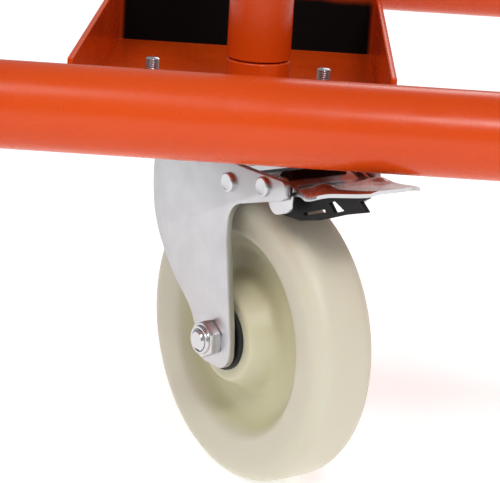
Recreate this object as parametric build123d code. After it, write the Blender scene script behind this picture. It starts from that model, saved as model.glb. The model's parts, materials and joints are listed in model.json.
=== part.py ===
from build123d import *
import math
import os

# Portable gantry crane, in millimetres.  +Z is up and the wheels stand on z = 0.
# The base rails run along X and the I-beam runs along Y, over the origin.

# ---- whole crane
RAIL_HALF_LENGTH = 650.0
TIE_HALF_LENGTH = 571.0
BEAM_HALF_LENGTH = 1150.0
FOOT_X = 470.0  # kingpin of each caster, from the middle
FOOT_Y = 950.0
SIDES = {"front": -1, "rear": 1}
HANDS = {"left": -1, "right": 1}

# ---- base rails and shoes; distances along Y are measured inwards from the kingpin
TUBE_R = 27.0
TUBE_T = 2.5
RAIL_Y = -122.0
RAIL_Z = 262.0
SHOE_HALF_W = 101.0
SHOE_FLOOR_Z = 237.0
SHOE_FLOOR_T = 6.0
SHOE_WALL_T = 4.0
SHOE_WALL_TOP = 290.0
SHOE_FRONT_Y = RAIL_Y + 18.0
SHOE_BACK_Y = 226.0
SHOE_BACK_TOP = 319.0
TIE_Y = SHOE_BACK_Y + TUBE_R
TIE_Z = 301.0
PLUG_T = 3.0
PLUG_DEPTH = 18.0
PLUG_WALL = 2.5

# ---- telescopic posts
POST_OFFSET_X = 14.0  # towards the middle of the crane, from the kingpin
POST_R = 21.2
POST_BORE_R = 18.0
POST_BOTTOM_Z = 278.0
POST_TOP_Z = 1300.0
SPIGOT_R = 17.6
SPIGOT_H = 55.0
COLLAR_R = 27.0
COLLAR_H = 35.0
INNER_R = 17.0
INNER_BORE_R = 14.0
INNER_BOTTOM_Z = 760.0
PIN_R = 5.0
PIN_HOLE_R = 5.4
PIN_HALF_LENGTH = 36.0
PIN_PITCH = 75.0
PIN_HOLES = 7
PIN_GAP = 0.4
BRACE_Z = 700.0
BRACE_SIZE = 40.0
BRACE_T = 2.0
BRACE_CORNER_R = 4.0

# ---- head and beam
HEAD_Z = 1780.0
HEAD_SIZE = 60.0
HEAD_T = 3.0
HEAD_CORNER_R = 6.0
HEAD_HALF_LENGTH = 500.0
GUSSET = 130.0
GUSSET_T = 6.0
SADDLE_T = 8.0
SADDLE_HALF_X = 70.0
SADDLE_HALF_Y = 60.0
BEAM_Z = HEAD_Z + HEAD_SIZE + SADDLE_T
BEAM_H = 120.0
BEAM_W = 64.0
BEAM_WEB = 4.4
BEAM_FLANGE = 6.3
BEAM_ROOT_R = 7.0
CLIP_X = 48.0
CLIP_Y = 44.0
CLIP_BOLT = 40.0
STOP_Y = 860.0
STOP_Z = BEAM_Z + 42.0
STOP_R = 15.0
STOP_X = 30.0
STOP_BOLT_R = 6.0
STOP_AF = 19.0

# ---- trolley, at the middle of the beam
TROLLEY_HALF_Y = 90.0
TROLLEY_PLATE_X = 43.0
TROLLEY_PLATE_T = 8.0
TROLLEY_WHEEL_Y = 55.0
TROLLEY_TREAD_R = 28.0
TROLLEY_FLANGE_R = 33.0
TROLLEY_GAP = 0.4
TROLLEY_AXLE_R = 8.0
LOAD_BAR_R = 12.0
LOAD_BAR_Z = BEAM_Z - 42.0
LOAD_EYE_R = 14.0
LOAD_EYE_T = 20.0
LOAD_EYE_DROP = 62.0

# ---- fits and repeated places
RUNNING_GAP = 0.05
PRESS_GAP = 0.2

# ---- caster: local x trails behind the kingpin, local y is the wheel's axle
CASTER_ANGLE = -53.5
TRAIL = 44.0
WHEEL_R = 100.0
WHEEL_HALF_W = 25.0
SHOULDER_R = 15.0
RIM_R = 69.5
RIM_Y = 21.0
WEB_HALF_T = 8.0
HUB_BASE_R = 39.0
HUB_R = 30.0
HUB_HALF_W = 28.0
CAP_R = 22.5
CAP_STEP_R = 17.5
CAP_Y = 31.0
AXLE_R = 7.0
AXLE_END_Y = 49.0
AXLE_NUT_AF = 22.0
AXLE_NUT_T = 8.6
ARM_INNER_Y = 33.0
ARM_T = 5.0
CROWN_TOP_Z = 222.0
PLATE_Z = 231.0
PLATE_T = 6.0
PLATE_X = 150.0
PLATE_Y = 110.0
PLATE_CORNER_R = 10.0
BOLT_X = 58.5
BOLT_Y = 38.0
BOLT_R = 5.0
BOLT_HOLE_R = 5.5
BOLT_TOP_Z = 266.0
BOLT_AF = 17.0
BOLT_HEAD_T = 6.4
BOLT_NUT_T = 8.4
WASHER_T = 2.0
KINGPIN_R = 8.0
KINGPIN_HEAD_T = 9.6
SWIVEL_GAP = 0.4
RACE_R = 28.0
RACE_T = 7.0
FORK_RACE_R = 37.0
FORK_RACE_T = 6.0
FORK_RACE_H = 4.0
CROWN_X = (-32.0, 51.0)
EAR_PIN_U = 10.0
EAR_PIN_V = 108.5
PEDAL_PIN_U = 48.0
PEDAL_PIN_V = 114.8
PEDAL_PIN_R = 5.0
PEDAL_CHEEK_Y = 31.0
PEDAL_SHEET = 3.0
SHOE_HALF_Y = 21.0
SHOE_SLEEVE_R = 8.5
BOLT_CIRCLE = [(x, y) for x in (-BOLT_X, BOLT_X) for y in (-BOLT_Y, BOLT_Y)]


def slab(xs, ys, zs):
    """A block between two x, two y and two z values, given in any order."""
    size = [abs(a[1] - a[0]) for a in (xs, ys, zs)]
    middle = [(a[0] + a[1]) / 2 for a in (xs, ys, zs)]
    return Pos(*middle) * Box(*size)


def rod(radius, z0, z1, x=0.0, y=0.0):
    """An upright cylinder from z0 to z1."""
    return Pos(x, y, (z0 + z1) / 2) * Cylinder(radius, abs(z1 - z0))


def rod_x(radius, x0, x1, y, z):
    """A cylinder along X from x0 to x1."""
    return Pos((x0 + x1) / 2, y, z) * Rot(0, 90, 0) * Cylinder(radius, abs(x1 - x0))


def rod_y(radius, y0, y1, x, z):
    """A cylinder along Y from y0 to y1."""
    return Pos(x, (y0 + y1) / 2, z) * Rot(90, 0, 0) * Cylinder(radius, abs(y1 - y0))


def hexagon(across_flats, height):
    """An upright hexagonal prism on z = 0."""
    return extrude(RegularPolygon(across_flats / math.sqrt(3), 6), height)


def square_tube(half_length, size, wall, radius, y, z):
    """A square tube with round corners along X, centred on y and z."""
    section = RectangleRounded(size, size, radius)
    section -= RectangleRounded(size - 2 * wall, size - 2 * wall, radius - wall)
    return Pos(-half_length, y, z) * extrude(Plane.YZ * section, 2 * half_length)


def round_tube(half_length, y, z):
    """A base tube along X, centred on y and z."""
    tube = rod_x(TUBE_R, -half_length, half_length, y, z)
    return tube - rod_x(TUBE_R - TUBE_T, -half_length - 1, half_length + 1, y, z)


def ring(outer, inner, z0, z1):
    """An upright ring from z0 to z1."""
    return rod(outer, z0, z1) - rod(inner, z0 - 1, z1 + 1)


# ---- end frames

def inward(side, distance):
    """The Y of a point that lies this far inwards from the kingpins of one end frame."""
    return side * (FOOT_Y - distance)


def foot_x(hand):
    return hand * FOOT_X


def post_x(hand):
    return hand * (FOOT_X - POST_OFFSET_X)


def outer_rail(side):
    return round_tube(RAIL_HALF_LENGTH - PLUG_T, inward(side, RAIL_Y), RAIL_Z)


def tie_rail(side):
    return round_tube(TIE_HALF_LENGTH - PLUG_T, inward(side, TIE_Y), TIE_Z)


def end_plug(end, half_length, y, z):
    """A capped sleeve in one end of a base tube."""
    face = end * (half_length - PLUG_T)
    inside = end * (half_length - PLUG_T - PLUG_DEPTH)
    neck_r = TUBE_R - TUBE_T - PRESS_GAP
    plug = rod_x(TUBE_R, face, end * half_length, y, z) + rod_x(neck_r, inside, face, y, z)
    return plug - rod_x(neck_r - PLUG_WALL, inside - end, face - end, y, z)


def end_plugs():
    plugs = []
    rows = [(RAIL_HALF_LENGTH, RAIL_Y, RAIL_Z), (TIE_HALF_LENGTH, TIE_Y, TIE_Z)]
    for side in SIDES.values():
        for half_length, y, z in rows:
            plugs += [end_plug(end, half_length, inward(side, y), z) for end in (-1, 1)]
    return Compound(children=plugs)


def shoe(side, hand):
    """An open tray, coped to the outer rail, that holds one caster below and one post above."""
    x = foot_x(hand)
    half = SHOE_HALF_W
    y_front = inward(side, SHOE_FRONT_Y)
    y_back = inward(side, SHOE_BACK_Y)
    y_inside = inward(side, SHOE_BACK_Y - SHOE_WALL_T)
    floor_top = SHOE_FLOOR_Z + SHOE_FLOOR_T
    body = slab((x - half, x + half), (y_front, y_back), (SHOE_FLOOR_Z, floor_top))
    for edge in (-1, 1):
        wall = (x + edge * half, x + edge * (half - SHOE_WALL_T))
        body += slab(wall, (y_front, y_back), (SHOE_FLOOR_Z, SHOE_WALL_TOP))
    body += slab((x - half, x + half), (y_inside, y_back), (SHOE_FLOOR_Z, SHOE_BACK_TOP))
    body -= rod_x(TUBE_R, x - 2 * half, x + 2 * half, inward(side, RAIL_Y), RAIL_Z)
    y = inward(side, 0)
    for dx, dy in BOLT_CIRCLE:
        body -= rod(BOLT_HOLE_R, SHOE_FLOOR_Z - 1, floor_top + 1, x + dx, y + dy)
    stub = rod(POST_R, floor_top - 1, POST_BOTTOM_Z - 1, post_x(hand), y)
    stub += rod(SPIGOT_R, POST_BOTTOM_Z - 2, POST_BOTTOM_Z + SPIGOT_H, post_x(hand), y)
    return body + stub


def lower_post(side, hand):
    x = post_x(hand)
    y = inward(side, 0)
    post = rod(POST_R, POST_BOTTOM_Z, POST_TOP_Z, x, y)
    post += rod(COLLAR_R, POST_TOP_Z - COLLAR_H, POST_TOP_Z, x, y)
    return post - rod(POST_BORE_R, POST_BOTTOM_Z - 1, POST_TOP_Z + 1, x, y)


def cross_brace(side):
    y = inward(side, 0)
    brace = square_tube(post_x(1), BRACE_SIZE, BRACE_T, BRACE_CORNER_R, y, BRACE_Z)
    for hand in HANDS.values():
        brace -= rod(POST_R, BRACE_Z - BRACE_SIZE, BRACE_Z + BRACE_SIZE, post_x(hand), y)
    return brace


def hex_bolt(across_flats, radius, head_t, length):
    """A bolt that points up, with the underside of its head on z = 0."""
    return Pos(0, 0, -head_t) * hexagon(across_flats, head_t) + rod(radius, -1, length)


def hex_nut(across_flats, radius, height):
    return hexagon(across_flats, height) - rod(radius + RUNNING_GAP, -1, height + 1)


def caster_fasteners():
    """Bolts, washers and nuts that hold the caster plates under the shoes."""
    floor_top = SHOE_FLOOR_Z + SHOE_FLOOR_T
    pieces = []
    bolt = Pos(0, 0, PLATE_Z) * hex_bolt(BOLT_AF, BOLT_R, BOLT_HEAD_T, BOLT_TOP_Z - PLATE_Z)
    washer = ring(BOLT_R * 2, BOLT_R + RUNNING_GAP, floor_top, floor_top + WASHER_T)
    nut = Pos(0, 0, floor_top + WASHER_T) * hex_nut(BOLT_AF, BOLT_R, BOLT_NUT_T)
    for side in SIDES.values():
        for hand in HANDS.values():
            for dx, dy in BOLT_CIRCLE:
                place = Pos(foot_x(hand) + dx, inward(side, 0) + dy, 0)
                pieces += [place * bolt, place * washer, place * nut]
    return Compound(children=pieces)


# ---- casters

def at_caster(shape, side, hand):
    """Turn a shape from the caster's own frame to its place under one shoe."""
    return Pos(foot_x(hand), inward(side, 0), 0) * Rot(0, 0, CASTER_ANGLE) * shape


def caster_plate():
    """Top plate with its upper race and kingpin; the plate is square to the shoe."""
    plate = Pos(0, 0, PLATE_Z) * extrude(RectangleRounded(PLATE_X, PLATE_Y, PLATE_CORNER_R), PLATE_T)
    for dx, dy in BOLT_CIRCLE:
        plate -= rod(BOLT_HOLE_R, PLATE_Z - 1, PLATE_Z + PLATE_T + 1, dx, dy)
    head_z = CROWN_TOP_Z - ARM_T - SWIVEL_GAP
    plate += ring(RACE_R, RACE_R - RACE_T, CROWN_TOP_Z + 2.0, PLATE_Z + 1)
    plate += rod(KINGPIN_R, head_z - 1, PLATE_Z + 1)
    plate += rod(KINGPIN_R + 5, head_z - KINGPIN_HEAD_T, head_z)
    return plate


def arm_outline():
    """Side plate of the fork, with the axle at the origin of the sketch."""
    back = [(-77.0, 118.0), (-80.0, 92.0), (-75.5, 63.5), (-54.0, 34.0), (-27.0, 12.5), (-17.0, -6.0)]
    left = Spline(*back)
    right = Polyline(
        (-17.0, -6.0),
        (19.4, 0.0),
        (9.0, 72.0),
        (9.0, 90.0),
        (62.0, 108.6),
        (68.0, 115.0),
        (61.0, 122.0),
        (-73.0, 122.0),
        (-77.0, 118.0),
    )
    face = make_face([left, right])
    corner = face.vertices().sort_by_distance((9.0, 90.0, 0.0))[0]
    face = fillet(corner, 22.0)
    return face + Circle(18.5)


def fork():
    face = arm_outline()
    pins = [(0, 0, AXLE_R), (EAR_PIN_U, EAR_PIN_V, PEDAL_PIN_R), (PEDAL_PIN_U, PEDAL_PIN_V, PEDAL_PIN_R)]
    for u, v, radius in pins:
        face -= Pos(u, v) * Circle(radius + RUNNING_GAP)
    plane = Plane(origin=(TRAIL, 0, WHEEL_R), x_dir=(1, 0, 0), z_dir=(0, -1, 0))
    arm = extrude(plane * face, ARM_T)
    outer = ARM_INNER_Y + ARM_T
    body = Pos(0, -ARM_INNER_Y, 0) * arm + Pos(0, outer, 0) * arm
    crown_z = (CROWN_TOP_Z - ARM_T, CROWN_TOP_Z)
    body += slab(CROWN_X, (-ARM_INNER_Y - 1, ARM_INNER_Y + 1), crown_z)
    body += ring(FORK_RACE_R, FORK_RACE_R - FORK_RACE_T, CROWN_TOP_Z - 1, CROWN_TOP_Z + FORK_RACE_H)
    return body - rod(KINGPIN_R + RUNNING_GAP, CROWN_TOP_Z - 10, CROWN_TOP_Z + 10)


def ear_pin(u, v):
    """A shouldered pin across both ears, with a round head on each side."""
    outer = ARM_INNER_Y + ARM_T
    x = TRAIL + u
    z = WHEEL_R + v
    pin = rod_y(PEDAL_PIN_R, -outer - 1, outer + 1, x, z)
    for end in (-1, 1):
        pin += rod_y(6.5, end * outer, end * (outer + 3.0), x, z)
    return pin


def axle_set():
    """Axle bolt, its nut and the two pins across the ears."""
    outer = ARM_INNER_Y + ARM_T
    axle = Pos(TRAIL, 0, WHEEL_R) * Rot(90, 0, 0)
    bolt = axle * hex_bolt(AXLE_NUT_AF, AXLE_R, 8.8, outer + AXLE_END_Y)
    bolt = Pos(0, outer, 0) * bolt
    nut = Pos(0, -outer, 0) * axle * hex_nut(AXLE_NUT_AF, AXLE_R, AXLE_NUT_T)
    pins = [ear_pin(EAR_PIN_U, EAR_PIN_V), ear_pin(PEDAL_PIN_U, PEDAL_PIN_V)]
    return Compound(children=[bolt, nut] + pins)


def wheel():
    """Nylon wheel: round shoulders, a dished side and a tapered hub."""
    bore = CAP_STEP_R
    points = [
        (bore, -HUB_HALF_W),
        (HUB_R, -HUB_HALF_W),
        (HUB_BASE_R, -WEB_HALF_T),
        (RIM_R - 9.0, -WEB_HALF_T),
        (RIM_R, -RIM_Y),
        (WHEEL_R - SHOULDER_R, -WHEEL_HALF_W),
        (WHEEL_R, -WHEEL_HALF_W),
    ]
    mirrored = [(radius, -y) for radius, y in reversed(points)]
    face = make_face(Polyline(*points, *mirrored, close=True))
    corners = face.vertices()
    tread = corners.filter_by(lambda v: v.X > WHEEL_R - 1)
    face = fillet(tread, SHOULDER_R - 0.5)
    rim = face.vertices().filter_by(lambda v: abs(v.X - RIM_R) < 0.5)
    face = fillet(rim, 3.0)
    web = face.vertices().filter_by(lambda v: abs(abs(v.Y) - WEB_HALF_T) < 0.1)
    face = fillet(web, 5.0)
    body = revolve(face, Axis.Y)
    return Pos(TRAIL, 0, WHEEL_R) * body


def bearing():
    """Bearing sleeve in the hub, with a stepped cap at each end."""
    points = [
        (AXLE_R + RUNNING_GAP, -CAP_Y - 1.6),
        (CAP_STEP_R - 3.0, -CAP_Y - 1.6),
        (CAP_STEP_R - 3.0, -CAP_Y),
        (CAP_R, -CAP_Y),
        (CAP_R, -HUB_HALF_W),
        (CAP_STEP_R, -HUB_HALF_W),
    ]
    mirrored = [(radius, -y) for radius, y in reversed(points)]
    face = make_face(Polyline(*points, *mirrored, close=True))
    return Pos(TRAIL, 0, WHEEL_R) * revolve(face, Axis.Y)


def side_plane(y):
    """Plane of a sketch whose origin is on the axle line, facing -Y, at this local y."""
    return Plane(origin=(TRAIL, y, WHEEL_R), x_dir=(1, 0, 0), z_dir=(0, -1, 0))


def pedal():
    """Foot lever: two cheeks on the pedal pin and a tongue that rises to its tip."""
    points = [(42.0, 118.0), (43.0, 102.0), (52.0, 97.0), (66.0, 103.0), (68.0, 118.5), (57.0, 121.5)]
    cheek = make_face(Polyline(*points, close=True))
    cheek = fillet(cheek.vertices(), 2.0)
    cheek -= Pos(PEDAL_PIN_U, PEDAL_PIN_V) * Circle(PEDAL_PIN_R + RUNNING_GAP)
    body = extrude(side_plane(-PEDAL_CHEEK_Y + PEDAL_SHEET) * cheek, PEDAL_SHEET)
    body += extrude(side_plane(PEDAL_CHEEK_Y) * cheek, PEDAL_SHEET)
    profile = make_face(
        Polyline(
            (56.0, 118.5), (68.0, 115.6), (90.0, 118.5), (132.0, 128.0), (132.0, 131.0), (90.0, 121.5),
            (68.0, 118.6), (57.0, 121.5), close=True
        )
    )
    tongue = extrude(side_plane(PEDAL_CHEEK_Y) * profile, 2 * PEDAL_CHEEK_Y)
    plan = make_face(
        Polyline(
            (TRAIL + 50, -PEDAL_CHEEK_Y), (TRAIL + 76, -PEDAL_CHEEK_Y), (TRAIL + 132, -16),
            (TRAIL + 132, 16), (TRAIL + 76, PEDAL_CHEEK_Y), (TRAIL + 50, PEDAL_CHEEK_Y), close=True
        )
    )
    tip = plan.vertices().filter_by(lambda v: v.X > TRAIL + 130)
    plan = fillet(tip, 12.0)
    shoulder = plan.vertices().filter_by(lambda v: abs(v.X - TRAIL - 76) < 0.5)
    plan = fillet(shoulder, 12.0)
    return body + (tongue & Pos(0, 0, 200) * extrude(plan, 60))


def brake_shoe():
    """Black brake bow below the pedal: a toothed web on the near side, with a sleeve on the pedal pin."""
    web = make_face(
        Polyline(
            (56.0, 113.0), (40.0, 108.0), (33.0, 104.0), (32.0, 99.5), (43.7, 94.0), (64.8, 95.0),
            (85.0, 100.6), (109.4, 110.4), (130.0, 117.0), (122.7, 122.0), (130.5, 126.0), (90.0, 117.2),
            (70.0, 114.4), (60.0, 115.5), close=True
        )
    )
    window = make_face(Polyline((92.7, 113.8), (97.5, 116.3), (108.1, 112.6), (98.5, 108.8), close=True))
    slit = make_face(Polyline((68.0, 101.2), (89.0, 108.6), (89.8, 107.0), (68.8, 99.6), close=True))
    pin = Pos(PEDAL_PIN_U, PEDAL_PIN_V)
    body = extrude(side_plane(-SHOE_HALF_Y + PEDAL_SHEET) * (web - window - slit), PEDAL_SHEET)
    body += extrude(side_plane(SHOE_HALF_Y) * pin * Circle(SHOE_SLEEVE_R), 2 * SHOE_HALF_Y)
    return body - extrude(side_plane(SHOE_HALF_Y + 1) * pin * Circle(PEDAL_PIN_R + 0.3), 2 * SHOE_HALF_Y + 2)


# ---- head, beam and inner posts

def inner_posts(side):
    y = inward(side, 0)
    posts = []
    for hand in HANDS.values():
        x = post_x(hand)
        post = rod(INNER_R, INNER_BOTTOM_Z, HEAD_Z, x, y) - rod(INNER_BORE_R, 0, HEAD_Z + 1, x, y)
        for step in range(PIN_HOLES):
            z = POST_TOP_Z + PIN_GAP + PIN_R - step * PIN_PITCH
            post -= rod_y(PIN_HOLE_R, y - POST_R, y + POST_R, x, z)
        posts.append(post)
    return Compound(children=posts)


def height_pins():
    """Drop pins through the inner posts, resting on the collars of the lower posts."""
    z = POST_TOP_Z + PIN_GAP + PIN_R
    pins = []
    for side in SIDES.values():
        for hand in HANDS.values():
            y = inward(side, 0)
            pin = rod_y(PIN_R, y - PIN_HALF_LENGTH, y + PIN_HALF_LENGTH, post_x(hand), z)
            head_y = y + side * PIN_HALF_LENGTH
            pin += rod_y(8.0, head_y - side, head_y + side * 4, post_x(hand), z)
            grip = Pos(post_x(hand), head_y + side * 3, z + 17) * Rot(0, 90, 90) * Torus(13.0, 1.6)
            pins.append(pin + grip)
    return Compound(children=pins)


def crosshead(side):
    y = inward(side, 0)
    middle_z = HEAD_Z + HEAD_SIZE / 2
    head = square_tube(HEAD_HALF_LENGTH, HEAD_SIZE, HEAD_T, HEAD_CORNER_R, y, middle_z)
    cap = extrude(Plane.YZ * RectangleRounded(HEAD_SIZE, HEAD_SIZE, HEAD_CORNER_R), HEAD_T)
    for x in (-HEAD_HALF_LENGTH, HEAD_HALF_LENGTH - HEAD_T):
        head += Pos(x, y, middle_z) * cap
    saddle_y = (y - SADDLE_HALF_Y, y + SADDLE_HALF_Y)
    saddle = slab((-SADDLE_HALF_X, SADDLE_HALF_X), saddle_y, (BEAM_Z - SADDLE_T, BEAM_Z))
    for dx in (-CLIP_X, CLIP_X):
        for dy in (-CLIP_Y, CLIP_Y):
            saddle -= rod(BOLT_HOLE_R, BEAM_Z - SADDLE_T - 1, BEAM_Z + 1, dx, y + dy)
    head += saddle
    for hand in HANDS.values():
        x = post_x(hand)
        top = HEAD_Z + 0.5
        corner = make_face(Polyline((x, top), (x - hand * GUSSET, top), (x, HEAD_Z - GUSSET), close=True))
        plane = Plane(origin=(0, y + GUSSET_T / 2, 0), x_dir=(1, 0, 0), z_dir=(0, -1, 0))
        plate = extrude(plane * corner, GUSSET_T)
        head += plate - rod(INNER_R, HEAD_Z - 2 * GUSSET, HEAD_Z, x, y)
    return head


def i_beam():
    half_w = BEAM_W / 2
    half_web = BEAM_WEB / 2
    top = BEAM_Z + BEAM_H
    points = [
        (-half_w, BEAM_Z),
        (half_w, BEAM_Z),
        (half_w, BEAM_Z + BEAM_FLANGE),
        (half_web, BEAM_Z + BEAM_FLANGE),
        (half_web, top - BEAM_FLANGE),
        (half_w, top - BEAM_FLANGE),
        (half_w, top),
        (-half_w, top),
        (-half_w, top - BEAM_FLANGE),
        (-half_web, top - BEAM_FLANGE),
        (-half_web, BEAM_Z + BEAM_FLANGE),
        (-half_w, BEAM_Z + BEAM_FLANGE),
    ]
    face = make_face(Polyline(*points, close=True))
    roots = face.vertices().filter_by(lambda v: abs(abs(v.X) - half_web) < 0.01)
    face = fillet(roots, BEAM_ROOT_R)
    plane = Plane(origin=(0, BEAM_HALF_LENGTH, 0), x_dir=(1, 0, 0), z_dir=(0, -1, 0))
    beam = extrude(plane * face, 2 * BEAM_HALF_LENGTH)
    for side in SIDES.values():
        beam -= rod_x(STOP_BOLT_R + 0.5, -half_w, half_w, side * STOP_Y, STOP_Z)
    return beam


def beam_clamps():
    """Clips and bolts that hold the beam's lower flange on the saddles."""
    pieces = []
    flange_top = BEAM_Z + BEAM_FLANGE
    for side in SIDES.values():
        for edge in (-1, 1):
            for dy in (-CLIP_Y, CLIP_Y):
                y = inward(side, 0) + dy
                ys = (y - 14, y + 14)
                clip = slab((edge * (BEAM_W / 2 + 0.5), edge * 64), ys, (BEAM_Z, flange_top + 1))
                clip += slab((edge * 22, edge * 64), ys, (flange_top + 0.05, flange_top + 9))
                clip -= rod(BOLT_HOLE_R, BEAM_Z - 1, flange_top + 10, edge * CLIP_X, y)
                pieces.append(clip)
                under = BEAM_Z - SADDLE_T
                bolt = Pos(edge * CLIP_X, y, flange_top + 9) * Rot(180, 0, 0)
                pieces.append(bolt * hex_bolt(BOLT_AF, BOLT_R, BOLT_HEAD_T, CLIP_BOLT))
                nut = hex_nut(BOLT_AF, BOLT_R, BOLT_NUT_T)
                pieces.append(Pos(edge * CLIP_X, y, under - BOLT_NUT_T) * nut)
    return Compound(children=pieces)


def end_stops():
    """Cross bolts through the web, with a thick bush on each side for the trolley to meet."""
    pieces = []
    for side in SIDES.values():
        y = side * STOP_Y
        for edge in (-1, 1):
            bush = rod_x(STOP_R, edge * (BEAM_WEB / 2), edge * STOP_X, y, STOP_Z)
            pieces.append(bush - rod_x(STOP_BOLT_R + 0.1, -40, 40, y, STOP_Z))
        turn = Rot(0, 90, 0)
        pieces.append(Pos(-STOP_X, y, STOP_Z) * turn * hex_bolt(STOP_AF, STOP_BOLT_R, 7.5, 74.0))
        pieces.append(Pos(STOP_X, y, STOP_Z) * turn * hex_nut(STOP_AF, STOP_BOLT_R, 10.0))
    return Compound(children=pieces)


# ---- trolley parts

def trolley_axle_z():
    return BEAM_Z + BEAM_FLANGE + TROLLEY_GAP + TROLLEY_TREAD_R


def trolley_plates():
    outline = make_face(
        Polyline(
            (-TROLLEY_HALF_Y, trolley_axle_z() + 24), (TROLLEY_HALF_Y, trolley_axle_z() + 24),
            (TROLLEY_HALF_Y, trolley_axle_z() - 22), (34, LOAD_BAR_Z - 24), (-34, LOAD_BAR_Z - 24),
            (-TROLLEY_HALF_Y, trolley_axle_z() - 22), close=True
        )
    )
    outline = fillet(outline.vertices(), 14.0)
    for y in (-TROLLEY_WHEEL_Y, TROLLEY_WHEEL_Y):
        outline -= Pos(y, trolley_axle_z()) * Circle(TROLLEY_AXLE_R + RUNNING_GAP)
    outline -= Pos(0, LOAD_BAR_Z) * Circle(LOAD_BAR_R + RUNNING_GAP)
    plate = extrude(Plane.YZ * outline, TROLLEY_PLATE_T)
    far = TROLLEY_PLATE_X + TROLLEY_PLATE_T
    return Compound(children=[Pos(TROLLEY_PLATE_X, 0, 0) * plate, Pos(-far, 0, 0) * plate])


def trolley_bolts():
    """Stub axles for the wheels, and the load bar with its spacers."""
    pieces = []
    outer = TROLLEY_PLATE_X + TROLLEY_PLATE_T
    for edge in (-1, 1):
        for y in (-TROLLEY_WHEEL_Y, TROLLEY_WHEEL_Y):
            axle = rod_x(TROLLEY_AXLE_R, edge * 11, edge * (outer + 12), y, trolley_axle_z())
            axle += rod_x(TROLLEY_AXLE_R + 3, edge * 40.2, edge * TROLLEY_PLATE_X, y, trolley_axle_z())
            pieces.append(axle)
            turn = Pos(edge * outer, y, trolley_axle_z()) * Rot(0, edge * 90, 0)
            pieces.append(turn * hex_nut(24.0, TROLLEY_AXLE_R, 9.0))
        spacer_x = (edge * (LOAD_EYE_T / 2 + 0.5), edge * TROLLEY_PLATE_X)
        spacer = rod_x(LOAD_BAR_R + 6, *spacer_x, 0, LOAD_BAR_Z)
        pieces.append(spacer - rod_x(LOAD_BAR_R + 0.1, -60, 60, 0, LOAD_BAR_Z))
        turn = Pos(edge * outer, 0, LOAD_BAR_Z) * Rot(0, edge * 90, 0)
        pieces.append(turn * hex_nut(36.0, LOAD_BAR_R, 14.0))
    pieces.append(rod_x(LOAD_BAR_R, -outer - 18, outer + 18, 0, LOAD_BAR_Z))
    return Compound(children=pieces)


def trolley_wheel(edge, y):
    """Wheel that rolls on the lower flange, with its own flange outside the beam's edge."""
    z = trolley_axle_z()
    body = rod_x(TROLLEY_TREAD_R, edge * 13, edge * 40, y, z)
    body += rod_x(TROLLEY_FLANGE_R, edge * 33.5, edge * 39, y, z)
    return body - rod_x(TROLLEY_AXLE_R + RUNNING_GAP, -60, 60, y, z)


def load_eye():
    """Eye plate that swings on the load bar and takes the hoist's hook or shackle."""
    plane = Plane(origin=(-LOAD_EYE_T / 2, 0, LOAD_BAR_Z), x_dir=(0, 1, 0), z_dir=(1, 0, 0))
    face = Circle(26.0) + Pos(0, -LOAD_EYE_DROP) * Circle(30.0)
    face += Pos(0, -LOAD_EYE_DROP / 2) * Rectangle(44, LOAD_EYE_DROP)
    face -= Circle(LOAD_BAR_R + RUNNING_GAP)
    face -= Pos(0, -LOAD_EYE_DROP) * Circle(LOAD_EYE_R)
    return extrude(plane * face, LOAD_EYE_T)


# ---- output

def build():
    parts = {"rail_end_plugs": end_plugs(), "caster_fasteners": caster_fasteners()}
    caster_pieces = {
        "fork": fork(),
        "axle_set": axle_set(),
        "wheel": wheel(),
        "bearing": bearing(),
        "pedal": pedal(),
        "brake_shoe": brake_shoe(),
    }
    plate = caster_plate()
    for side_name, side in SIDES.items():
        parts[f"{side_name}_outer_rail"] = outer_rail(side)
        parts[f"{side_name}_tie_rail"] = tie_rail(side)
        parts[f"{side_name}_cross_brace"] = cross_brace(side)
        parts[f"{side_name}_inner_posts"] = inner_posts(side)
        parts[f"{side_name}_crosshead"] = crosshead(side)
        for hand_name, hand in HANDS.items():
            corner = f"{side_name}_{hand_name}"
            parts[f"{corner}_shoe"] = shoe(side, hand)
            parts[f"{corner}_lower_post"] = lower_post(side, hand)
            parts[f"{corner}_caster_plate"] = Pos(foot_x(hand), inward(side, 0), 0) * plate
            for name, piece in caster_pieces.items():
                parts[f"{corner}_{name}"] = at_caster(piece, side, hand)
            parts[f"trolley_wheel_{corner}"] = trolley_wheel(hand, side * TROLLEY_WHEEL_Y)
    parts["i_beam"] = i_beam()
    parts["beam_clamps"] = beam_clamps()
    parts["end_stops"] = end_stops()
    parts["height_pins"] = height_pins()
    parts["trolley_plates"] = trolley_plates()
    parts["trolley_bolts"] = trolley_bolts()
    parts["load_eye"] = load_eye()
    return parts


os.makedirs("parts", exist_ok=True)
crane = build()
for name, shape in crane.items():
    export_step(shape, f"parts/{name}.step")
print(len(crane), "nodes")
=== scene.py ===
import json
import math
import bmesh
import bpy
from mathutils import Matrix, Vector

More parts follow.
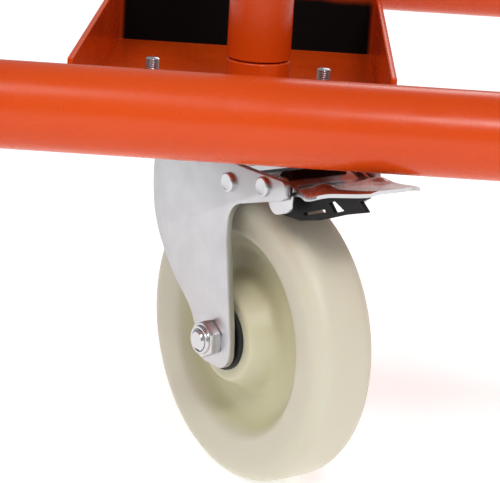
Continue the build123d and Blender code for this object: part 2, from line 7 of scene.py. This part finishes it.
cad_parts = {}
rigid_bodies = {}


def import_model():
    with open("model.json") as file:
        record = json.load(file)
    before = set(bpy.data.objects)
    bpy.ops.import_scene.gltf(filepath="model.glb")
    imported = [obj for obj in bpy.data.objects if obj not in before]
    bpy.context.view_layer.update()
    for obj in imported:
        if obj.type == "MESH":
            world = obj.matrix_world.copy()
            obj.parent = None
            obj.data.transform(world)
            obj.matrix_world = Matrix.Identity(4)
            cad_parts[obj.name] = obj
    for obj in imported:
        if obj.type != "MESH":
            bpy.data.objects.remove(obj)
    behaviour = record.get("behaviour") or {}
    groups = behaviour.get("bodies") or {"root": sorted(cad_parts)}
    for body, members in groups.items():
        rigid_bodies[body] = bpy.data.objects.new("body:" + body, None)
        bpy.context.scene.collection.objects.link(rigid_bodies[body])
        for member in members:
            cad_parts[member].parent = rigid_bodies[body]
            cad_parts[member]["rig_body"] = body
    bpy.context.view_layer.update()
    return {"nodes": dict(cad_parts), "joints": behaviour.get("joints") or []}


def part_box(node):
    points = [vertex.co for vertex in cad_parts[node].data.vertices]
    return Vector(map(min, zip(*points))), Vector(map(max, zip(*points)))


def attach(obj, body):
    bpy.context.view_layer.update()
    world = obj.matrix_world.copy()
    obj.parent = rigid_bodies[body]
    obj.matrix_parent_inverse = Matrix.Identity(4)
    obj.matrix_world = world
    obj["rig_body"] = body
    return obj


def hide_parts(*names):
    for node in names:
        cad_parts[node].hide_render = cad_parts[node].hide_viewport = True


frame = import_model()
joints = {joint["name"]: joint for joint in frame["joints"]}
corners = [side + "_" + hand for side in ("front", "rear") for hand in ("left", "right")]
mm = 0.001
print("frame loaded:", len(frame["nodes"]), "nodes")


# ---- shader maths and nodes
class Wire:
    def __init__(self, paint, socket):
        self.paint = paint
        self.socket = socket

    def calc(self, operation, first, second):
        return self.paint.node("ShaderNodeMath", {"operation": operation}, {0: first, 1: second})

    def __add__(self, other):
        return self.calc("ADD", self, other)

    def __sub__(self, other):
        return self.calc("SUBTRACT", self, other)

    def __mul__(self, other):
        return self.calc("MULTIPLY", self, other)

    def __abs__(self):
        return self.calc("ABSOLUTE", self, 0.0)


class Paint:
    def __init__(self, name, look):
        self.material = bpy.data.materials.new(name)
        self.material.use_nodes = True
        self.tree = self.material.node_tree
        self.shader = self.tree.nodes["Principled BSDF"]
        for socket, value in look.items():
            self.shader.inputs[socket].default_value = value

    def node(self, kind, settings, inputs, output=0):
        made = self.tree.nodes.new(kind)
        for key, value in settings.items():
            setattr(made, key, value)
        for key, value in inputs.items():
            if isinstance(value, Wire):
                self.tree.links.new(value.socket, made.inputs[key])
            else:
                made.inputs[key].default_value = value
        return Wire(self, made.outputs[output])

    def feed(self, socket, wire):
        self.tree.links.new(wire.socket, self.shader.inputs[socket])

    def place(self):
        return self.node("ShaderNodeTexCoord", {}, {}, "Object")

    def stretched(self, scale):
        return self.node("ShaderNodeMapping", {}, {"Vector": self.place(), "Scale": scale})

    def noise(self, scale, detail=3.0, vector=None):
        inputs = {"Vector": vector or self.place(), "Scale": scale, "Detail": detail}
        return self.node("ShaderNodeTexNoise", {}, inputs)

    def span(self, value, low, high, start=0.0, end=1.0):
        settings = {"interpolation_type": "SMOOTHSTEP"}
        inputs = {"Value": value, "From Min": low, "From Max": high, "To Min": start, "To Max": end}
        return self.node("ShaderNodeMapRange", settings, inputs)

    def blend(self, factor, first, second):
        return self.node("ShaderNodeMix", {"data_type": "RGBA"}, {0: factor, 6: first, 7: second}, 2)

    def bump(self, height, strength, distance):
        wire = self.node("ShaderNodeBump", {}, {"Strength": strength, "Distance": distance, "Height": height})
        self.feed("Normal", wire)


# ---- materials
def powderCoat(name, shadedBackWall):
    look = {
        "colour": (0.60, 0.060, 0.003, 1),
        "thin": (0.56, 0.053, 0.003, 1),  # where the coat is a little thinner
        # painted shade: near-black colour for the shadow inside the shoes' back walls
        "paintedShade": (0.006, 0.005, 0.005, 1),
    }
    paint = Paint(name, {"Roughness": 0.34, "Specular IOR Level": 0.30, "IOR": 1.5})
    cloud = paint.noise(6.0, 2.0)
    colour = paint.blend(paint.span(cloud, 0.35, 0.65), look["colour"], look["thin"])
    rough = paint.span(paint.noise(40.0), 0.2, 0.8, 0.22, 0.30)
    # painted shade: where the mask holds, the coat gives way to a near-black diffuse for the back wall's
    # shadow
    if shadedBackWall:
        coat = Wire(paint, paint.shader.outputs[0])
        mask = backWallShadeMask(paint)
        shadeBlack = paint.node("ShaderNodeBsdfDiffuse", {}, {"Color": look["paintedShade"]})
        mixed = paint.node("ShaderNodeMixShader", {}, {0: mask, 1: coat, 2: shadeBlack})
        paint.tree.links.new(mixed.socket, paint.tree.nodes["Material Output"].inputs["Surface"])
    paint.feed("Base Color", colour)
    paint.feed("Roughness", rough)
    peel = paint.noise(520.0, 1.0) * 0.25 + paint.noise(34.0, 1.0)
    paint.bump(peel, 0.10, 0.0009)
    return paint


def backWallShadeMask(paint):
    # painted shade: the inside of the shoes' back walls is drawn near black for the shadow there, with a soft
    # edge into the orange coat
    wall = {"y": 0.728, "x": 0.470, "half": 0.097, "high": 0.287}
    axes = [paint.node("ShaderNodeSeparateXYZ", {}, {0: paint.place()}, axis) for axis in range(3)]
    drift = paint.noise(45.0, 2.0) * 0.006
    depth = paint.span(abs(abs(axes[1]) - wall["y"]), 0.0004, 0.0012, 1.0, 0.0)
    near = paint.span(abs(abs(axes[0]) - wall["x"]), wall["half"] - 0.004, wall["half"] + 0.002, 1.0, 0.0)
    top = paint.span(axes[2] + drift, wall["high"] - 0.004, wall["high"] + 0.008, 1.0, 0.0)
    return depth * near * top


def zincPlate(name, streak=(1, 1, 1), tone=0.60, rough=0.30):
    paint = Paint(name, {"Metallic": 1.0, "IOR": 1.5})
    mottle = paint.noise(70.0, 4.0, paint.stretched(streak))
    light = (tone * 1.02, tone * 1.02, tone * 1.05, 1)
    dull = (tone * 0.97, tone * 0.97, tone * 1.00, 1)
    paint.feed("Base Color", paint.blend(paint.span(mottle, 0.3, 0.7), light, dull))
    paint.feed("Roughness", paint.span(mottle, 0.25, 0.75, rough, rough + 0.06))
    paint.bump(paint.noise(420.0, 2.0, paint.stretched(streak)), 0.02, 0.0004)
    return paint


def castNylon():
    # painted shade: the second cream is darker and yellower, for the shade in the wheel's dish and around its
    # hub
    look = {"cream": (0.55, 0.53, 0.42, 1), "shadedCream": (0.50, 0.48, 0.30, 1), "glow": (0.014, 0.010, 0.005)}
    paint = Paint("castNylon", {"IOR": 1.5, "Subsurface Weight": 0.35, "Subsurface Scale": 0.6})
    paint.shader.inputs["Subsurface Radius"].default_value = look["glow"]
    # painted shade: mixed in where the point attribute marks the dish and hub
    dishShade = paint.node("ShaderNodeAttribute", {"attribute_name": "dishShade"}, {}, "Fac")
    cloud = paint.noise(22.0, 3.0)
    shadeAmount = paint.span(dishShade + cloud * 0.2 - 0.1, 0.0, 1.0)
    paint.feed("Base Color", paint.blend(shadeAmount, look["cream"], look["shadedCream"]))
    paint.feed("Roughness", paint.span(cloud, 0.3, 0.7, 0.36, 0.48))
    paint.bump(paint.noise(190.0, 2.0), 0.05, 0.0006)
    return paint


def plainBlack(name, tone, rough):
    paint = Paint(name, {"IOR": 1.5, "Specular IOR Level": 0.2})
    grain = paint.noise(300.0, 3.0)
    dark = (tone, tone, tone * 1.05, 1)
    worn = (tone * 1.8, tone * 1.75, tone * 1.7, 1)
    paint.feed("Base Color", paint.blend(paint.span(grain, 0.5, 0.8), dark, worn))
    paint.feed("Roughness", paint.span(grain, 0.2, 0.8, rough, rough + 0.15))
    paint.bump(grain, 0.08, 0.0003)
    return paint


def castIron():
    paint = Paint("castIron", {"Metallic": 1.0})
    grain = paint.noise(160.0, 4.0)
    paint.feed("Base Color", paint.blend(grain, (0.10, 0.10, 0.11, 1), (0.22, 0.21, 0.20, 1)))
    paint.feed("Roughness", paint.span(grain, 0.2, 0.8, 0.35, 0.6))
    paint.bump(grain, 0.15, 0.0005)
    return paint


orangePaint = powderCoat("orangePaint", False)
# the shoes' paint carries painted shade on the inside of their back walls
shoePaint = powderCoat("shoePaint", True)
zinc = zincPlate("zincPlate", (1, 1, 1), 0.52, 0.34)
tubeZinc = zincPlate("tubeZinc", (1, 1, 0.05), 0.52, 0.28)
boltZinc = zincPlate("boltZinc", (1, 1, 1), 0.56, 0.22)
nylon = castNylon()
blackSteel = plainBlack("blackSteel", 0.003, 0.42)
blackPlastic = plainBlack("blackPlastic", 0.018, 0.45)
iron = castIron()
print("materials made")


# ---- shapes
def spun(points, steps=64):
    # a closed profile of (radius, height) points turned about Z
    shape = bmesh.new()
    ring = [shape.verts.new((radius, 0, height)) for radius, height in points]
    edges = [shape.edges.new(pair) for pair in zip(ring, ring[1:] + ring[:1])]
    bmesh.ops.spin(shape, geom=ring + edges, cent=(0, 0, 0), axis=(0, 0, 1), angle=2 * math.pi,
                   steps=steps, use_merge=True, use_duplicate=False)
    return tidied(shape)


def tidied(shape, gap=1e-6):
    bmesh.ops.remove_doubles(shape, verts=shape.verts, dist=gap)
    bmesh.ops.dissolve_degenerate(shape, dist=gap, edges=shape.edges)
    bmesh.ops.recalc_face_normals(shape, faces=shape.faces)
    return shape


def plate(outline, low, high):
    # an outline of (x, z, rounding) corners, thickened along Y from low to high
    shape = bmesh.new()
    verts = [shape.verts.new((x, low, z)) for x, z, rounding in outline]
    shape.faces.new(verts)
    for vert, (x, z, rounding) in zip(verts, outline):
        if rounding:
            bmesh.ops.bevel(shape, geom=[vert], offset=rounding, segments=7, profile=0.5,
                            affect="VERTICES", material=-1)
    grown = bmesh.ops.extrude_face_region(shape, geom=shape.faces[:])
    moved = [part for part in grown["geom"] if isinstance(part, bmesh.types.BMVert)]
    bmesh.ops.translate(shape, vec=(0, high - low, 0), verts=moved)
    return tidied(shape)


def eased(shape, width, segments=2, sharpest=0.6, test=None):
    # bevel the edges whose faces meet at more than this angle
    edges = [edge for edge in shape.edges if edge.calc_face_angle(0) > sharpest]
    if test:
        edges = [edge for edge in edges if test(edge)]
    bmesh.ops.bevel(shape, geom=edges, offset=width, segments=segments, profile=0.5,
                    affect="EDGES", material=-1)
    return shape


def joined(placed):
    # one bmesh from (shape, matrix) pairs; a shape may be used many times
    whole = bmesh.new()
    for shape, matrix in placed:
        copy = bpy.data.meshes.new("copy")
        shape.to_mesh(copy)
        copy.transform(matrix)
        whole.from_mesh(copy)
        bpy.data.meshes.remove(copy)
    return whole


def finished(name, shape, paint, body, nodes=(), crease=38):
    mesh = bpy.data.meshes.new(name)
    shape.to_mesh(mesh)
    mesh.materials.append(paint.material)
    mesh.shade_smooth()
    mesh.set_sharp_from_angle(angle=math.radians(crease))
    piece = bpy.data.objects.new(name, mesh)
    bpy.context.scene.collection.objects.link(piece)
    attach(piece, body)
    if nodes:
        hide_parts(*nodes)
    return piece


def softened(node, paint, width=0.7, segments=2, flat=0.6):
    # a merged copy of a CAD node with its sharp edges eased
    source = frame["nodes"][node]
    shape = bmesh.new()
    shape.from_mesh(source.data)
    tidied(shape, 1e-5)
    if flat:
        bmesh.ops.dissolve_limit(shape, angle_limit=math.radians(flat), verts=shape.verts, edges=shape.edges)
    piece = finished(node + "_eased", shape, paint, source["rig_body"], [node])
    ease = piece.modifiers.new("ease", "BEVEL")
    ease.width = width * mm
    ease.segments = segments
    ease.limit_method = "ANGLE"
    ease.angle_limit = math.radians(40)
    ease.use_clamp_overlap = False
    ease.harden_normals = True
    return piece


def casterFrame(corner):
    # from the caster's own frame, with its origin in the axle's middle, to the crane's
    kingpin = Vector(joints[corner + "_swivel_turn"]["pos_m"])
    axle = joints[corner + "_wheel_spin"]
    middle = Vector(axle["pos_m"])
    turn = math.atan2(axle["axis"][1], axle["axis"][0]) - math.pi / 2
    return Matrix.Translation(middle) @ Matrix.Rotation(turn, 4, "Z"), (middle - kingpin).to_2d().length


scaled = Matrix.Scale(mm, 4)
alongY = Matrix.Rotation(math.radians(90), 4, "X")  # turns Z to -Y


# ---- caster wheel
def casterWheel():
    size = {"radius": 100, "half": 25, "shoulder": 14.5, "rim": 69.5, "rimY": 21, "web": 8,
            "dishFoot": 60, "hubFoot": 39, "hub": 30, "hubHalf": 28, "bore": 17.5}
    half = [
        (size["bore"], size["hubHalf"]), (size["hub"], size["hubHalf"]), (size["hubFoot"], size["web"]),
        (size["dishFoot"], size["web"]), (size["rim"], size["rimY"]), (size["radius"], size["half"]),
    ]
    shape = spun(half + [(radius, -height) for radius, height in reversed(half)], 112)

    def ringAt(radius):
        return lambda edge: all(
            abs(vert.co.to_2d().length - radius) < 0.6 and abs(vert.co.z - edge.verts[0].co.z) < 0.01
            for vert in edge.verts
        )

    bevels = [(size["radius"], size["shoulder"], 9), (size["rim"], 3.2, 4), (size["dishFoot"], 6, 4)]
    bevels += [(size["hubFoot"], 7, 4), (size["hub"], 2.5, 3)]
    for radius, width, segments in bevels:
        eased(shape, width, segments, 0.05, ringAt(radius))
    return shape


def markDishShade(piece, middle, axis):
    # painted shade: how deep in the dish each point lies, and how near the hub, for the darker and yellower
    # nylon drawn there as shade
    attribute = piece.data.attributes.new("dishShade", "FLOAT", "POINT")
    for index, vert in enumerate(piece.data.vertices):
        reach = vert.co - middle
        radius = (reach - axis * reach.dot(axis)).length
        across = abs(reach.dot(axis))
        depth = min(1, max(0, (0.0225 - across) / 0.012)) * min(1, max(0, (0.073 - radius) / 0.006))
        attribute.data[index].value = max(depth, 0.55 * min(1, max(0, (0.040 - radius) / 0.006)))


# ---- caster fork
def casterFork(trail):
    size = {"inner": 33, "sheet": 5, "crown": 122, "raceOut": 37, "raceIn": 30, "raceTop": 126}
    outline = [
        (-77.5, 122, 5), (-81.8, 93, 13), (-76, 61, 13), (-54, 33, 13), (-27, 13, 8), (-18.6, -1, 3),
        (-18.4, -18.2, 12), (19.6, -18.2, 12), (20.4, 2, 5), (9.2, 72, 3), (8.8, 93, 14), (60, 108, 3),
        (69.5, 110.5, 4), (69, 122.5, 4), (30, 121.6, 0),
    ]
    arm = eased(plate(outline, size["inner"], size["inner"] + size["sheet"]), 0.7, 2)
    crown = bmesh.new()
    bmesh.ops.create_cube(crown, size=1, matrix=Matrix.Translation((-33.5, 0, size["crown"] - 2.5))
                          @ Matrix.Diagonal((86, 2 * size["inner"] + 1, size["sheet"], 1)))
    eased(crown, 0.8, 2)
    race = spun([
        (size["raceIn"], size["crown"] - 1), (size["raceOut"] + 2, size["crown"] - 1),
        (size["raceOut"], size["raceTop"]), (size["raceIn"], size["raceTop"]),
    ], 56)
    eased(race, 1.2, 3)
    flip = Matrix.Diagonal((1, -1, 1, 1))
    other = joined([(arm, flip)])
    bmesh.ops.reverse_faces(other, faces=other.faces)
    still = Matrix.Identity(4)
    return joined([(arm, still), (other, still), (crown, still), (race, Matrix.Translation((-trail, 0, 0)))])


# ---- fasteners
def thread(radius, low, high, pitch, steps=28):
    # a threaded end: ridges from low to high, with a chamfered tip and a closed foot
    root = radius - 0.62 * pitch
    count = int((high - low) / pitch)
    points = [(0, low), (root, low)]
    for turn in range(count):
        start = low + turn * pitch
        points += [(root, start + 0.1 * pitch), (radius, start + 0.5 * pitch)]
    points += [(root, low + count * pitch), (root - 0.6, high), (0, high)]
    return spun(points, steps)


def hexNut(acrossFlats, height, hole):
    # a chamfered ring cut by six planes
    corner = acrossFlats / math.sqrt(3)
    face = acrossFlats / 2 * 0.97  # radius of the flat end
    cut = 0.45 * (corner - face)
    shape = spun([
        (hole, 0), (face, 0), (corner + 0.2, cut),
        (corner + 0.2, height - cut), (face, height), (hole, height),
    ], 72)
    for flat in range(6):
        angle = math.radians(60 * flat)
        side = Vector((math.cos(angle), math.sin(angle), 0))
        geom = shape.verts[:] + shape.edges[:] + shape.faces[:]
        made = bmesh.ops.bisect_plane(shape, geom=geom, plane_co=side * acrossFlats / 2, plane_no=side,
                                      clear_outer=True)
        rim = [part for part in made["geom_cut"] if isinstance(part, bmesh.types.BMEdge)]
        bmesh.ops.holes_fill(shape, edges=rim, sides=0)
    return tidied(shape, 1e-5)


def axleSet():
    size = {"arm": 38, "nutAf": 22, "nut": 8.2, "collar": 9.9, "collarTop": 10.6, "bolt": 7, "end": 12.2,
            "head": 8.8, "pinHead": 6.4, "pinRise": 3.0}
    nut = eased(hexNut(size["nutAf"], size["nut"], size["bolt"] - 1), 0.25, 2, 0.9)
    collar = eased(spun([
        (size["bolt"] - 1, size["nut"] - 1), (size["collar"], size["nut"] - 1),
        (size["collar"] - 0.5, size["collarTop"]), (size["bolt"] + 0.8, size["collarTop"]),
        (size["bolt"] + 0.4, size["collarTop"] - 0.9), (size["bolt"] - 1, size["collarTop"] - 0.9),
    ], 56), 0.4, 2)
    tip = thread(size["bolt"], size["nut"], size["end"], 1.5, 40)
    foot = -2 * size["arm"] - 1
    shank = spun([(0, foot), (size["bolt"], foot), (size["bolt"], 1), (0, 1)], 32)
    head = hexNut(size["nutAf"], size["head"], 0.0)
    rivet = eased(spun([
        (0, -1), (size["pinHead"], -1), (size["pinHead"], size["pinRise"] - 0.6),
        (size["pinHead"] - 1.1, size["pinRise"]), (size["pinHead"] - 2.0, size["pinRise"] - 0.35),
        (0, size["pinRise"] - 0.2),
    ], 40), 0.25, 2)
    pin = spun([(0, -size["arm"]), (5, -size["arm"]), (5, size["arm"]), (0, size["arm"])], 32)
    near = Matrix.Translation((0, -size["arm"], 0)) @ alongY
    far = Matrix.Translation((0, size["arm"], 0)) @ Matrix.Rotation(math.radians(-90), 4, "X")
    placed = [(nut, near), (collar, near), (tip, near), (shank, near), (head, far)]
    for x, z in ((10, 108.5), (48, 114.8)):
        move = Matrix.Translation((x, 0, z))
        placed += [(rivet, move @ near), (rivet, move @ far), (pin, move @ alongY)]
    return joined(placed)


def bearingCap():
    size = {"bolt": 7.05, "sleeve": 17.4, "cap": 22.5, "face": 28, "capTop": 31, "lip": 14.5, "lipTop": 32.6}
    half = [
        (size["bolt"], size["lipTop"]), (size["lip"] - 3, size["lipTop"]),
        (size["lip"] - 2, size["lipTop"] - 0.8), (size["lip"], size["lipTop"] - 0.8),
        (size["lip"] + 0.6, size["capTop"] - 1.2),
        (size["cap"] - 3.2, size["capTop"] - 1.2), (size["cap"] - 2.6, size["capTop"]),
        (size["cap"], size["capTop"] - 0.6), (size["cap"], size["face"]), (size["sleeve"], size["face"]),
    ]
    shape = spun(half + [(radius, -height) for radius, height in reversed(half)], 72)
    return eased(shape, 0.3, 2)


# ---- brake pedal
def brakePedal():
    size = {
        "half": 31, "tipHalf": 22, "start": 52, "neck": 78, "tip": 133, "sheet": 3,
        "foot": 119.6, "rise": 11.0, "riseFrom": 66, "riseOver": 67, "sag": 1.8, "sagWide": 8,
        "bulge": 4.2, "bulgeAt": 87, "bulgeWide": 8.5, "bulgeIn": 3, "rimWide": 5.5,
        "dome": 3.4, "domeAt": 22, "domeWide": 5.0, "lip": 3.6, "lipWide": 6.0,
        "roundFrom": 0.86, "pull": 3.0,
    }
    tongue = bmesh.new()
    bmesh.ops.create_grid(tongue, x_segments=54, y_segments=44, size=1)
    for vert in tongue.verts:
        along = (vert.co.x + 1) / 2
        across = vert.co.y
        x = size["start"] + along * (size["tip"] - size["start"])
        taper = max(0, (x - size["neck"]) / (size["tip"] - size["neck"]))
        ease = taper * taper * (3 - 2 * taper)
        half = size["half"] + (size["tipHalf"] - size["half"]) * ease
        rounding = max(0, along - size["roundFrom"]) / (1 - size["roundFrom"])
        half *= math.sqrt(1 - 0.25 * rounding ** 2)
        x -= size["pull"] * abs(across) ** 3 * rounding
        z = size["foot"] + size["rise"] * max(0, (x - size["riseFrom"]) / size["riseOver"]) ** 1.25
        z -= size["sag"] * math.exp(-((x - size["riseFrom"]) / size["sagWide"]) ** 2)
        edge = max(0, (abs(across) - 1) * half / size["lipWide"] + 1)
        z -= size["lip"] * edge ** 2 * (1 - 0.6 * along)
        swell = math.exp(-((x - size["bulgeAt"]) / size["bulgeWide"]) ** 2)
        rim = math.exp(-((abs(across) * half - size["half"] + size["bulgeIn"]) / size["rimWide"]) ** 2)
        z -= size["bulge"] * swell * rim * 0.8
        z += size["dome"] * swell * math.exp(-((abs(across) * half - size["domeAt"]) / size["domeWide"]) ** 2)
        y = across * half + math.copysign(size["bulge"] * swell * rim, across)
        vert.co = (x, y, z)
    grown = bmesh.ops.extrude_face_region(tongue, geom=tongue.faces[:])
    under = [part for part in grown["geom"] if isinstance(part, bmesh.types.BMVert)]
    bmesh.ops.translate(tongue, vec=(0, 0, -size["sheet"] * 0.8), verts=under)
    tidied(tongue, 1e-4)
    outline = [(41.5, 118, 3), (43, 101.5, 4), (50, 96, 3.5), (57.5, 98.2, 2), (66.5, 102, 4), (69, 118.6, 2),
               (57, 121.8, 3)]
    cheek = eased(plate(outline, 28, 31), 0.5, 2)
    other = joined([(cheek, Matrix.Diagonal((1, -1, 1, 1)))])
    bmesh.ops.reverse_faces(other, faces=other.faces)
    still = Matrix.Identity(4)
    return joined([(tongue, still), (cheek, still), (other, still)])


for corner in corners:
    place, trail = casterFrame(corner)
    toAxle = place @ scaled
    axis = (place.to_3x3() @ Vector((0, 1, 0))).normalized()
    upright = toAxle @ alongY
    swivel, roller, brake = corner + "_swivel", corner + "_roller", corner + "_brake"
    wheel = finished("wheel_" + corner, joined([(casterWheel(), upright)]), nylon, roller,
                     [corner + "_wheel"], 60)
    # marks where the nylon gets its painted shade
    markDishShade(wheel, place.translation, axis)
    finished("fork_" + corner, joined([(casterFork(trail / mm), toAxle)]), zinc, swivel,
             [corner + "_fork"])
    finished("axle_" + corner, joined([(axleSet(), toAxle)]), boltZinc, swivel,
             [corner + "_axle_set"], 30)
    finished("bearing_" + corner, joined([(bearingCap(), upright)]), blackPlastic, roller,
             [corner + "_bearing"], 30)
    finished("pedal_" + corner, joined([(brakePedal(), toAxle)]), boltZinc, brake,
             [corner + "_pedal"], 50)
    softened(corner + "_brake_shoe", blackSteel, 0.25, 2, 0)
    softened(corner + "_caster_plate", zinc, 0.8)
print("casters made")


# ---- bolts that hold the casters
def casterBolts():
    size = {"x": 58.5, "y": 38, "under": 231, "floor": 243, "top": 266, "af": 17, "head": 6.4, "radius": 5,
            "washer": 10, "washerT": 2, "nut": 8.4}
    nutTop = size["floor"] + size["washerT"] + size["nut"]
    nut = hexNut(size["af"], size["nut"], size["radius"] - 1)
    head = hexNut(size["af"], size["head"], 0.0)
    washer = eased(spun([(4, 0), (size["washer"], 0), (size["washer"], 2), (4, 2)], 32), 0.3, 2)
    shank = spun([(0, size["under"] - 1), (size["radius"], size["under"] - 1), (size["radius"], nutTop - 1),
                  (0, nutTop - 1)], 24)
    stud = thread(size["radius"], nutTop - 1.2, size["top"], 1.5, 28)
    placed = []
    for corner in corners:
        kingpin = Vector(joints[corner + "_swivel_turn"]["pos_m"])
        for x in (-size["x"], size["x"]):
            for y in (-size["y"], size["y"]):
                at = Matrix.Translation((kingpin.x + x * mm, kingpin.y + y * mm, 0)) @ scaled
                placed.append((head, at @ Matrix.Translation((0, 0, size["under"] - size["head"]))))
                placed.append((washer, at @ Matrix.Translation((0, 0, size["floor"]))))
                placed.append((nut, at @ Matrix.Translation((0, 0, size["floor"] + size["washerT"]))))
                placed += [(shank, at), (stud, at)]
    finished("casterBolts", joined(placed), boltZinc, "base", ["caster_fasteners"], 30)


casterBolts()


# ---- rails
def rail(node):
    # a round tube along X, open at its ends
    low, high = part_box(node)
    size = {"wall": 2.5 * mm, "steps": 96}
    half = (high.x - low.x) / 2
    radius = (high.z - low.z) / 2
    inside = radius - size["wall"]
    tube = spun([(inside, -half), (radius, -half), (radius, half), (inside, half)], size["steps"])
    place = Matrix.Translation((low + high) / 2) @ Matrix.Rotation(math.radians(90), 4, "Y")
    finished(node + "_drawn", joined([(tube, place)]), orangePaint, "base", [node])


for side in ("front", "rear"):
    rail(side + "_outer_rail")
    rail(side + "_tie_rail")
    softened(side + "_cross_brace", orangePaint, 0.5)
    softened(side + "_crosshead", orangePaint, 0.8)
for corner in corners:
    softened(corner + "_shoe", shoePaint, 1.2, 3)
    softened(corner + "_lower_post", orangePaint, 0.6)
    softened("trolley_wheel_" + corner, iron, 0.8)
for node, paint, slot, width in (
    ("rail_end_plugs", blackPlastic, "black_plastic", 0.8),
    ("i_beam", orangePaint, "orange_paint", 0.8),
    ("trolley_plates", orangePaint, "orange_paint", 0.8),
    ("trolley_bolts", boltZinc, "zinc", 0.5),
    ("beam_clamps", boltZinc, "zinc", 0.5),
    ("end_stops", boltZinc, "zinc", 0.5),
    ("load_eye", zinc, "zinc", 1.2),
    ("height_pins", boltZinc, "zinc", 0.4),
    ("front_inner_posts", tubeZinc, "zinc", 0.4),
    ("rear_inner_posts", tubeZinc, "zinc", 0.4),
):
    softened(node, paint, width)
print("frame pieces made")


# ---- floor, light and camera
def floorAndLight():
    light = {"floor": 60, "paper": 0.50, "world": 0.36, "aim": (0, 0, 0.5)}
    shape = bmesh.new()
    bmesh.ops.create_grid(shape, x_segments=1, y_segments=1, size=light["floor"])
    mesh = bpy.data.meshes.new("floor")
    shape.to_mesh(mesh)
    floor = bpy.data.objects.new("floor", mesh)
    look = {"Base Color": (0.9, 0.9, 0.9, 1), "Roughness": 0.9, "Emission Strength": light["paper"]}
    paper = Paint("paper", look)
    paper.shader.inputs["Emission Color"].default_value = (1, 1, 1, 1)
    mesh.materials.append(paper.material)
    bpy.context.scene.collection.objects.link(floor)
    world = bpy.data.worlds.new("studio")
    bpy.context.scene.world = world
    world.use_nodes = True
    world.node_tree.nodes["Background"].inputs["Color"].default_value = (1, 1, 1, 1)
    world.node_tree.nodes["Background"].inputs["Strength"].default_value = light["world"]
    lamps = [
        ("key", (-2.2, -3.6, 4.2), 2.6, 95),
        ("fill", (3.6, -3.0, 2.6), 2.2, 18),
        ("back", (1.0, 4.5, 4.0), 3.0, 75),
        ("strip", (0.3, -3.3, 2.4), 0.7, 40),
    ]
    for name, at, wide, power in lamps:
        lamp = bpy.data.lights.new(name, "AREA")
        lamp.shape = "DISK"
        lamp.size = wide
        lamp.energy = power
        holder = bpy.data.objects.new(name, lamp)
        holder.location = at
        holder.rotation_euler = (Vector(light["aim"]) - Vector(at)).to_track_quat("-Z", "Y").to_euler()
        holder.visible_camera = False
        bpy.context.scene.collection.objects.link(holder)


def camera():
    # low and close in front of the front left foot, with a long lens
    look = {
        "lens": 144.9, "sensor": 36, "clip": 200, "offset": (0.0337, -1.3127, 0.5273),
        "down": 16, "left": 0.77, "roll": 3.58,  # degrees
    }
    kingpin = Vector(joints["front_left_swivel_turn"]["pos_m"])
    data = bpy.data.cameras.new("camera")
    data.lens = look["lens"]
    data.sensor_width = look["sensor"]
    data.sensor_fit = "HORIZONTAL"
    data.clip_end = look["clip"]
    holder = bpy.data.objects.new("camera", data)
    holder.matrix_world = (
        Matrix.Translation((kingpin.x + look["offset"][0], kingpin.y + look["offset"][1], look["offset"][2]))
        @ Matrix.Rotation(math.radians(look["left"]), 4, "Z")
        @ Matrix.Rotation(math.radians(90 - look["down"]), 4, "X")
        @ Matrix.Rotation(math.radians(look["roll"]), 4, "Z")
    )
    bpy.context.scene.collection.objects.link(holder)
    bpy.context.scene.camera = holder


floorAndLight()
camera()
bpy.context.scene.view_settings.view_transform = "Standard"
print("scene ready")
